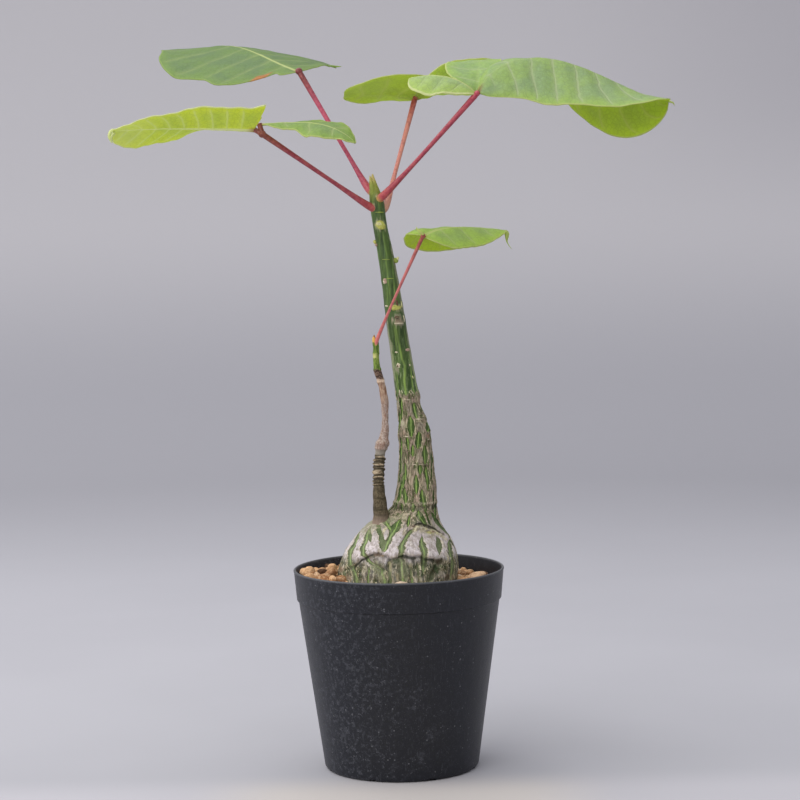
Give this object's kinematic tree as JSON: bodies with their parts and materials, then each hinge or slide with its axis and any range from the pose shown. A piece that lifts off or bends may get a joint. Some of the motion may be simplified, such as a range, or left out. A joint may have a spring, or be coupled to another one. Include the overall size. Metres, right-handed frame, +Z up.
{
  "type": "potted shaving brush tree",
  "caption": "Young caudex plant with a swollen fissured base, a slim green trunk, a side shoot and drooping leaves on red stalks, growing in grit in a round black nursery pot.",
  "frame": {"origin": "centre of the pot's underside, on the surface that it stands on", "axes": "+Z up, the plant's best side faces -Y, +X to the right in the front view"},
  "size_m": [0.2662, 0.1495, 0.3657],
  "materials": {
    "pot_plastic": "thin black moulded plastic, dusty and lightly scuffed",
    "grit": "dry tan and beige pumice grains",
    "bark": "green living bark between grey plates",
    "shoot_bark": "ringed grey-brown bark",
    "leaf_stalk": "smooth crimson stalk",
    "leaf_blade": "waxy blue-green above, bright yellow-green below"
  },
  "bodies": {
    "root": {"pot": "pot_plastic", "soil": "grit", "caudex_and_trunk": "bark", "side_shoot": "shoot_bark", "leaf_upper_left_stalk": "leaf_stalk", "leaf_upper_left_blade": "leaf_blade", "leaf_lower_left_stalk": "leaf_stalk", "leaf_lower_left_leaflet_left": "leaf_blade", "leaf_lower_left_leaflet_right": "leaf_blade", "leaf_right_stalk": "leaf_stalk", "leaf_right_leaflet_outer": "leaf_blade", "leaf_right_leaflet_inner": "leaf_blade", "leaf_right_leaflet_back": "leaf_blade", "leaf_back_stalk": "leaf_stalk", "leaf_back_leaflet_left": "leaf_blade", "leaf_back_leaflet_right": "leaf_blade", "leaf_shoot_stalk": "leaf_stalk", "leaf_shoot_blade": "leaf_blade"}
  },
  "joints": []
}
